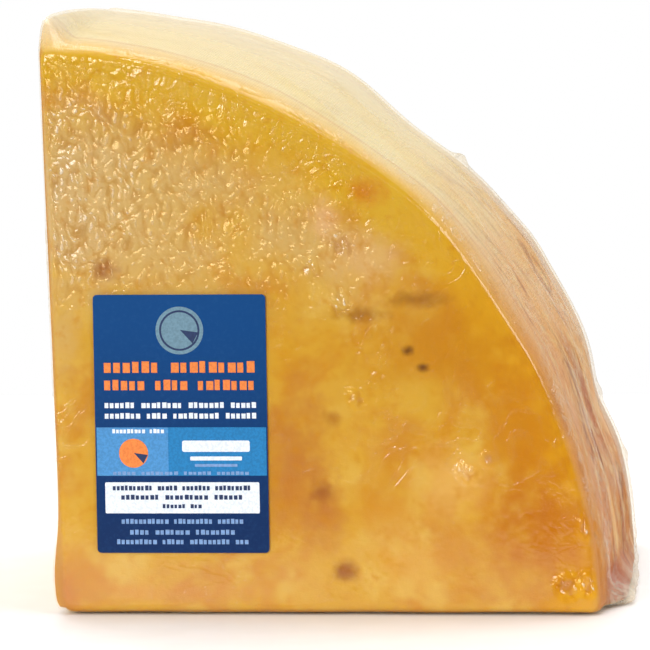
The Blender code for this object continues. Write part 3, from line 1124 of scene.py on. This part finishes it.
@dataclass
class SealFlap:
    """The bag's mouth: a band of doubled film with a ribbed heat seal, folded down against the back."""

    form: PackForm
    placing: Placing
    width: float = 0.122
    drop: float = 0.026
    thickness: float = 0.0005
    top: float = 0.094
    left: float = 0.008
    off_film: float = 0.0005
    cuts: tuple[tuple[int, int], ...] = ((0, 150), (2, 60))
    seal_band: Span = (0.0035, 0.0120)
    rib_pitch: float = 0.0021
    rib_height: float = 0.00016
    pleat_depth: float = 0.0016
    stand_off: float = 0.0006
    wave_depth: float = 0.0007
    edge_wander: float = 0.0016
    side_wander: float = 0.0010
    sealed_milk: float = 0.30
    rib_milk: float = 0.16
    film_milk: float = 0.07
    creases: float = 0.5
    sharp_edges: float = math.radians(50)

    def shaped(self, x: float, level: float) -> tuple[Vector, float]:
        """How one point of the flat band moves, and how milky it is.

        Args:
            x: The point's place along the band, from its middle.
            level: Its height above the band's lower edge.

        Returns:
            The move and the milkiness.
        """
        free = 1.0 - level / self.drop
        low, high = self.seal_band
        sealed = low < level < high
        rib = 0.5 + 0.5 * math.cos(2.0 * math.pi * (level - low) / self.rib_pitch) if sealed else 0.0
        pleats = abs(noise.noise(Vector((x / 0.0075, level / 0.09, 5.0)))) * (1.0 - free) * self.pleat_depth
        wave = self.stand_off + self.wave_depth * noise.noise(Vector((x / 0.020, level / 0.05, 3.0)))
        edge = self.edge_wander * noise.noise(Vector((x / 0.03, 0.0, 8.0))) * free
        side = self.side_wander * noise.noise(Vector((0.0, level / 0.012, 2.0)))
        milk = self.sealed_milk - self.rib_milk * rib if sealed else self.film_milk
        return Vector((side, self.rib_height * rib + pleats + wave * free, edge)), milk

    def build(self) -> bpy.types.Object:
        """Makes the flap.

        Returns:
            The piece.
        """
        bm = bmesh.new()
        bmesh.ops.create_cube(bm, size=1.0)
        bmesh.ops.scale(bm, vec=(self.width, self.thickness, self.drop), verts=bm.verts)
        for axis, cuts in self.cuts:
            edges = [e for e in bm.edges if abs(e.verts[0].co[axis] - e.verts[1].co[axis]) > TINY]
            bmesh.ops.subdivide_edges(bm, edges=edges, cuts=cuts, use_grid_fill=True)
        middle = Vector((
            self.placing.axis + self.left + self.width / 2.0,
            self.placing.front + self.form.height + self.thickness / 2.0 + self.off_film,
            self.top - self.drop / 2.0,
        ))
        milky = []
        for vert in bm.verts:
            move, milk = self.shaped(vert.co.x, vert.co.z + self.drop / 2.0)
            vert.co += middle + move
            milky.append(milk)
        bmesh.ops.recalc_face_normals(bm, faces=bm.faces)
        mesh = finished_mesh(bm, "seal_flap")
        mesh.shade_smooth()
        mesh.set_sharp_from_angle(angle=self.sharp_edges)
        none = np.zeros(len(milky))
        add_values(mesh, milky=np.array(milky), creased=none + self.creases, pebbled=none, frosted=none)
        return add_piece("seal_flap", mesh, [FilmFinish("doubled_seal_film").material()])


class Ink(Enum):
    """The label's printed colours."""

    ORANGE = srgb(238, 132, 62)
    WHITE = srgb(232, 240, 250)
    PALE = srgb(122, 156, 204)
    TURQUOISE = srgb(24, 122, 182)
    SKY = srgb(72, 142, 200)
    SLATE = srgb(108, 142, 160)
    NAVY = srgb(34, 52, 92)

    def material(self) -> bpy.types.Material:
        """Builds the ink's material: flat and slightly uneven, as offset print is."""
        at = Shader(bpy.data.materials.new("ink_" + self.name.lower()))
        grain = at.noise(1400.0, 3.0, 0.6)
        darker = tuple(part * 0.8 for part in self.value)
        colour = at.mix(grain.band(0.35, 0.65), darker, self.value)
        return at.finish(at.coated(colour, 0.42, 0.25, {"Normal": at.bump(grain, 0.00003, 0.3)}))


@dataclass(frozen=True)
class PaperFinish:
    """Coated paper: blue above, navy below, with a faint fibre and a satin gloss."""

    low: float
    high: float
    above: Colour = srgb(0, 64, 122)
    below: Colour = srgb(4, 38, 84)
    fibre: Colour = srgb(50, 100, 150)

    def material(self) -> bpy.types.Material:
        """Builds the material of the label's ground."""
        at = Shader(bpy.data.materials.new("label_paper"))
        fibre = at.noise(900.0, 3.0, 0.6)
        colour = at.mix(at.split(at.place)[2].band(self.low, self.high), self.below, self.above)
        colour = at.mix(fibre.band(0.45, 0.8, 0.0, 0.10), colour, self.fibre)
        return at.finish(at.coated(colour, 0.38, 0.12, {"Normal": at.bump(fibre, 0.00005, 0.3)}))


@dataclass(frozen=True)
class BarRow:
    """A row of small blocks that stands in for a line of print.

    The sizes are in metres from the label's left and upper edges, and each word is a number of blocks.
    """

    left: float
    right: float
    down: float
    height: float
    ink: Ink
    words: tuple[int, ...]


@dataclass
class Label:
    """The printed label: a thin sheet on the film, with fields and blocks of ink laid on it."""

    placing: Placing
    thickness: float = 0.00022
    off_film: float = 0.00005
    ink_height: float = 0.00003
    corner: float = 0.0012
    corner_steps: int = 4
    pressed: Span = (0.0004, 0.0030)
    edge: float = 0.0004
    band_top: float = 0.0400
    band_bottom: float = 0.0546
    panel_top: float = 0.0566
    panel_bottom: float = 0.0660
    panel_inset: float = 0.0027
    emblem: Span = (0.0260, 0.0108)
    emblem_rings: tuple[tuple[float, Ink], ...] = (
        (0.0072, Ink.SLATE), (0.0061, Ink.NAVY), (0.0055, Ink.SLATE),
    )
    bar_gap: float = 0.28
    word_gap: float = 1.1
    rows: tuple[BarRow, ...] = (
        BarRow(0.0030, 0.0490, 0.0220, 0.0030, Ink.ORANGE, (6, 9)),
        BarRow(0.0030, 0.0490, 0.0274, 0.0027, Ink.ORANGE, (5, 4, 7)),
        BarRow(0.0030, 0.0490, 0.0334, 0.0015, Ink.WHITE, (6, 8, 7, 5)),
        BarRow(0.0030, 0.0490, 0.0366, 0.0015, Ink.WHITE, (7, 4, 9, 6)),
        BarRow(0.0052, 0.0210, 0.0412, 0.0011, Ink.WHITE, (9, 4)),
        BarRow(0.0052, 0.0465, 0.0539, 0.0009, Ink.PALE, (5, 8, 6, 7)),
        BarRow(0.0050, 0.0470, 0.0584, 0.0013, Ink.NAVY, (10, 5, 7, 9)),
        BarRow(0.0075, 0.0445, 0.0612, 0.0013, Ink.NAVY, (8, 9, 6)),
        BarRow(0.0200, 0.0320, 0.0639, 0.0011, Ink.NAVY, (6, 3)),
        BarRow(0.0075, 0.0445, 0.0685, 0.0013, Ink.PALE, (11, 9, 6)),
        BarRow(0.0100, 0.0420, 0.0718, 0.0013, Ink.PALE, (4, 7, 8)),
        BarRow(0.0060, 0.0460, 0.0747, 0.0013, Ink.PALE, (9, 5, 9, 3)),
    )

    def __post_init__(self) -> None:
        """Reads the label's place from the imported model."""
        low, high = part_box("label")
        self.left, self.right = low[0], high[0]
        self.foot, self.head = low[2], high[2]
        self.back = self.placing.front - self.off_film
        self.face = self.back - self.thickness

    def zone(self, points: Points) -> Array:
        """0 behind the label and 1 away from it, for points of the film."""
        x = points.across + self.placing.axis
        across = np.maximum(self.left - x, x - self.right)
        up = np.maximum(self.foot - points.up, points.up - self.head)
        return np.where(points.on_front, ease(*self.pressed, np.maximum(across, up)), 1.0)

    def slab(self, bm: bmesh.types.BMesh, box: tuple[float, ...], front: float, back: float, corner: float,
             ink: Ink | None = None) -> None:
        """Adds a thin plate, with rounded corners where a radius is given.

        Args:
            bm: The mesh to add to.
            box: The plate's left, right, foot and head.
            front: Its front face's place along Y.
            back: Its back face's place along Y.
            corner: The corners' radius.
            ink: The plate's ink, or None for the first material.
        """
        left, right, foot, head = box
        size = (right - left, back - front, head - foot)
        middle = ((left + right) / 2.0, (front + back) / 2.0, (foot + head) / 2.0)
        made = bmesh.ops.create_cube(bm, size=1.0)["verts"]
        bmesh.ops.scale(bm, vec=size, verts=made)
        bmesh.ops.translate(bm, vec=middle, verts=made)
        self.paint(made, ink)
        if corner > 0.0:
            edges = {e for v in made for e in v.link_edges}
            uprights = [e for e in edges if abs(e.verts[0].co.y - e.verts[1].co.y) > size[1] / 2.0]
            bmesh.ops.bevel(bm, geom=uprights, offset=corner, offset_type="OFFSET", affect="EDGES",
                            segments=self.corner_steps, profile=0.5, material=-1)

    def paint(self, made: list[bmesh.types.BMVert], ink: Ink | None) -> None:
        """Gives the faces of new points their ink."""
        for face in {f for v in made for f in v.link_faces}:
            face.material_index = list(Ink).index(ink) if ink else 0

    def field(self, bm: bmesh.types.BMesh, span: Span, rows: Span, layer: int, ink: Ink,
              corner: float = 0.0) -> None:
        """Adds a field of ink.

        Args:
            bm: The mesh to add to.
            span: Its left and right ends, from the label's left edge.
            rows: Its upper and lower edges, from the label's upper edge.
            layer: Which layer of ink it is, counted from the paper.
            ink: Its ink.
            corner: The corners' radius.
        """
        front = self.face - self.ink_height * layer
        box = (self.left + span[0], self.left + span[1], self.head - rows[1], self.head - rows[0])
        self.slab(bm, box, front, front + self.ink_height, corner, ink)

    def plate(self, bm: bmesh.types.BMesh, place: Span, sides: int, shape: Matrix, layer: int,
              ink: Ink) -> None:
        """Adds a thin plate of ink with equal sides.

        Args:
            bm: The mesh to add to.
            place: Its place, across and down from the label's upper left corner.
            sides: How many sides it has.
            shape: Turns and stretches a lying plate of radius 1.
            layer: Which layer of ink it is, counted from the paper.
            ink: Its ink.
        """
        middle = self.face - self.ink_height * (layer - 0.5)
        matrix = Matrix.Translation((self.left + place[0], middle, self.head - place[1])) @ shape
        made = bmesh.ops.create_cone(bm, cap_ends=True, segments=sides, radius1=1.0, radius2=1.0,
                                     depth=self.ink_height, matrix=matrix)["verts"]
        self.paint(made, ink)

    def disc(self, bm: bmesh.types.BMesh, place: Span, radius: float, layer: int, ink: Ink) -> None:
        """Adds a thin round plate of ink."""
        self.plate(bm, place, 40, STANDING @ Matrix.Diagonal((radius, radius, 1.0, 1.0)), layer, ink)

    def wedge(self, bm: bmesh.types.BMesh, place: Span, size: float, layer: int, ink: Ink) -> None:
        """Adds a narrow triangle of ink, as a cut wedge looks from above, with its point at the place."""
        tilt = Matrix.Rotation(math.radians(-62), 4, "Y")
        narrow = Matrix.Diagonal((0.42 * size, size / 1.5, 1.0, 1.0)) @ Matrix.Translation((0.0, -1.0, 0.0))
        self.plate(bm, place, 3, tilt @ STANDING @ narrow, layer, ink)

    def bars(self, bm: bmesh.types.BMesh, row: BarRow, layer: int) -> None:
        """Adds a row of blocks, grouped as words, with some blocks taller or wider than others.

        Args:
            bm: The mesh to add to.
            row: The row.
            layer: Which layer of ink it is, counted from the paper.
        """
        count = sum(row.words) + self.word_gap * (len(row.words) - 1)
        pitch = (row.right - row.left) / count
        place = row.left
        number = 0
        for word in row.words:
            for _ in range(word):
                taller = 0.16 * row.height * math.sin(5.1 * number + 1.7 * row.down * 1000.0)
                width = pitch * (1.0 - self.bar_gap + 0.12 * math.sin(3.3 * number))
                rows = (row.down - row.height / 2.0 - max(taller, 0.0), row.down + row.height / 2.0)
                self.field(bm, (place, place + width), rows, layer, row.ink)
                place += pitch
                number += 1
            place += self.word_gap * pitch

    def print_mesh(self) -> bpy.types.Mesh:
        """Lays all the ink on the label.

        Returns:
            The print's mesh.
        """
        bm = bmesh.new()
        width = self.right - self.left
        band, panel = (self.band_top, self.band_bottom), (self.panel_top, self.panel_bottom)
        self.field(bm, (self.edge, width - self.edge), band, 1, Ink.TURQUOISE)
        self.field(bm, (self.edge, 0.0220), band, 2, Ink.SKY)
        self.field(bm, (self.panel_inset, width - self.panel_inset), panel, 1, Ink.WHITE, 0.0004)
        for layer, (radius, ink) in enumerate(self.emblem_rings, start=1):
            self.disc(bm, self.emblem, radius, layer, ink)
        self.wedge(bm, (0.0262, 0.0106), 0.0052, 4, Ink.NAVY)
        self.disc(bm, (0.0115, 0.0478), 0.0044, 3, Ink.ORANGE)
        self.wedge(bm, (0.0116, 0.0477), 0.0040, 4, Ink.NAVY)
        self.field(bm, (0.0262, 0.0466), (0.0440, 0.0474), 2, Ink.WHITE, 0.0006)
        self.field(bm, (0.0286, 0.0442), (0.0488, 0.0500), 2, Ink.WHITE, 0.0003)
        self.field(bm, (0.0300, 0.0428), (0.0511, 0.0519), 2, Ink.PALE)
        for row in self.rows:
            self.bars(bm, row, 3)
        bmesh.ops.recalc_face_normals(bm, faces=bm.faces)
        return finished_mesh(bm, "label_print")

    def build(self) -> list[bpy.types.Object]:
        """Makes the label's sheet and its print.

        Returns:
            The two pieces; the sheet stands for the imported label.
        """
        bm = bmesh.new()
        self.slab(bm, (self.left, self.right, self.foot, self.head), self.face, self.back, self.corner)
        paper = PaperFinish(self.foot, self.head).material()
        sheet = add_piece("label_sheet", finished_mesh(bm, "label_sheet"), [paper], "label")
        inks = [ink.material() for ink in Ink]
        return [sheet, add_piece("label_ink", self.print_mesh(), inks)]


@dataclass(frozen=True)
class Softbox:
    """A rectangular light: its name, place, width and height, and power in watts."""

    name: str
    place: tuple[float, float, float]
    size: Span
    watts: float


@dataclass
class Studio:
    """White table, soft light and the camera, as in a pack shot."""

    placing: Placing
    azimuth: float = 6.30
    elevation: float = 6.55
    distance: float = 2.0
    roll: float = -0.905
    aim_across: float = 0.07663
    aim_up: float = 0.07893
    lens: float = 357.4
    sensor: float = 36.0
    clip: Span = (0.1, 50.0)
    table_sides: float = 1.0
    table_reach: Span = (-0.22, 0.45)
    table_thickness: float = 0.004
    table_drop: float = 0.0002
    table_white: Colour = (0.95, 0.945, 0.94)
    table_grey: Colour = (0.93, 0.925, 0.915)
    lit_point: tuple[float, float, float] = (0.0, 0.0, 0.09)
    lights: tuple[Softbox, ...] = (
        Softbox("key", (-0.67, -1.73, 0.50), (0.70, 0.70), 24.5),
        Softbox("fill", (1.25, -1.05, 0.85), (0.50, 0.90), 7.0),
        Softbox("back", (-0.90, 1.50, 1.00), (0.60, 0.60), 8.0),
        Softbox("top", (0.10, 0.30, 1.50), (1.2, 0.9), 12.0),
    )
    room_front: float = 0.12
    room_around: float = 0.88

    def table(self) -> None:
        """Makes the table: a thin white slab with a faint gloss."""
        front, back = self.table_reach
        bm = bmesh.new()
        bmesh.ops.create_cube(bm, size=1.0)
        bmesh.ops.scale(bm, vec=(2.0 * self.table_sides, back - front, self.table_thickness), verts=bm.verts)
        middle = (0.0, (back + front) / 2.0, -self.table_thickness / 2.0 - self.table_drop)
        bmesh.ops.translate(bm, vec=middle, verts=bm.verts)
        mesh = finished_mesh(bm, "table")
        at = Shader(bpy.data.materials.new("white_table"))
        colour = at.mix(at.noise(60.0, 3.0).band(0.3, 0.7), self.table_grey, self.table_white)
        mesh.materials.append(at.finish(at.coated(colour, 0.30, 0.05)))
        table = bpy.data.objects.new("table", mesh)
        bpy.context.scene.collection.objects.link(table)

    def softbox(self, box: Softbox) -> None:
        """Adds an area light that looks at the lit point."""
        data = bpy.data.lights.new(box.name, "AREA")
        data.shape = "RECTANGLE"
        data.size, data.size_y = box.size
        data.energy = box.watts
        light = bpy.data.objects.new(box.name, data)
        light.location = box.place
        looking = Vector(self.lit_point) - Vector(box.place)
        light.rotation_euler = looking.to_track_quat("-Z", "Y").to_euler()
        bpy.context.scene.collection.objects.link(light)

    def world(self) -> None:
        """Lights the scene from all round, less from the front, and shows plain white behind it."""
        at = Shader(bpy.data.worlds.new("white_room"), "Generated")
        around = at.split(at.place)[1].band(-0.8, -0.1, self.room_front, self.room_around)
        seen = at.node("LightPath").outputs["Is Camera Ray"]
        strength = at.node("Mix", {0: seen, 2: around, 3: 1.0}, data_type="FLOAT").outputs[0]
        room = at.node("Background", {0: WHITE, 1: strength})
        bpy.context.scene.world = at.finish(room.outputs[0])

    def camera(self) -> None:
        """Places the camera where the photograph was taken from."""
        data = bpy.data.cameras.new("camera")
        data.lens = self.lens
        data.sensor_width = self.sensor
        data.clip_start, data.clip_end = self.clip
        turn, rise = math.radians(self.azimuth), math.radians(self.elevation)
        back = Vector((math.sin(turn) * math.cos(rise), -math.cos(turn) * math.cos(rise), math.sin(rise)))
        aim = Vector((self.placing.axis + self.aim_across, 0.0, self.aim_up))
        camera = bpy.data.objects.new("camera", data)
        camera.location = aim + back * self.distance
        looking = (-back).to_track_quat("-Z", "Y").to_matrix().to_4x4()
        camera.rotation_euler = (looking @ Matrix.Rotation(math.radians(self.roll), 4, "Z")).to_euler()
        bpy.context.scene.collection.objects.link(camera)
        bpy.context.scene.camera = camera

    def build(self) -> None:
        """Makes the table, the lights, the white room and the camera."""
        self.table()
        for box in self.lights:
            self.softbox(box)
        self.world()
        self.camera()
        bpy.context.scene.view_settings.view_transform = "Standard"
        bpy.context.scene.view_settings.look = "None"


def main() -> None:
    """Builds every piece in order."""
    logging.basicConfig(level=logging.INFO, format="%(name)s %(message)s")
    placing = Placing.from_label()
    form = PackForm()
    label = Label(placing)
    flap = SealFlap(form, placing)
    Cheese(form, placing).build()
    VacuumFilm(form, placing).build(label.zone, flap)
    flap.build()
    label.build()
    Studio(placing).build()


if __name__ == "__main__":
    main()
